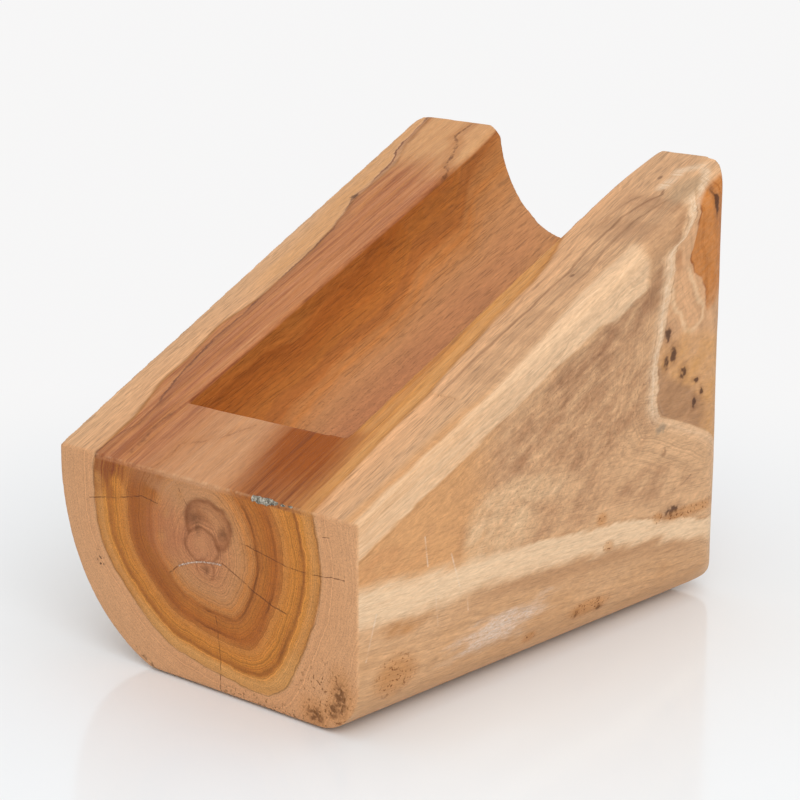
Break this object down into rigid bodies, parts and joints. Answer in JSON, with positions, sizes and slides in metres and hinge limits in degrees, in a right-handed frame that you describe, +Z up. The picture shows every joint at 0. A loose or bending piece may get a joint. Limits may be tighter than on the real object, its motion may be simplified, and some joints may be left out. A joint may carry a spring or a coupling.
{
  "type": "wine bottle coaster",
  "caption": "Solid teak log wedge with a half-round channel cut down its sawn, sloping top, which cradles a wine bottle at a slant on a table.",
  "frame": {"origin": "middle of the footprint's bounding box, on the table that the felt discs stand on", "axes": "+Z up; +Y from the low front to the high back, along the channel's run; +X to the right, seen from the front"},
  "size_m": [0.219, 0.289, 0.2297],
  "materials": {
    "wood": "sanded and lightly oiled, satin",
    "filler": "matt, flecked with mineral grains",
    "felt": "pressed felt"
  },
  "bodies": {
    "root": {"carved_block": "wood", "edge_filler": "filler", "heart_check_filler": "filler", "felt_pad_front_left": "felt", "felt_pad_front_right": "felt", "felt_pad_rear_left": "felt", "felt_pad_rear_right": "felt"}
  },
  "joints": []
}
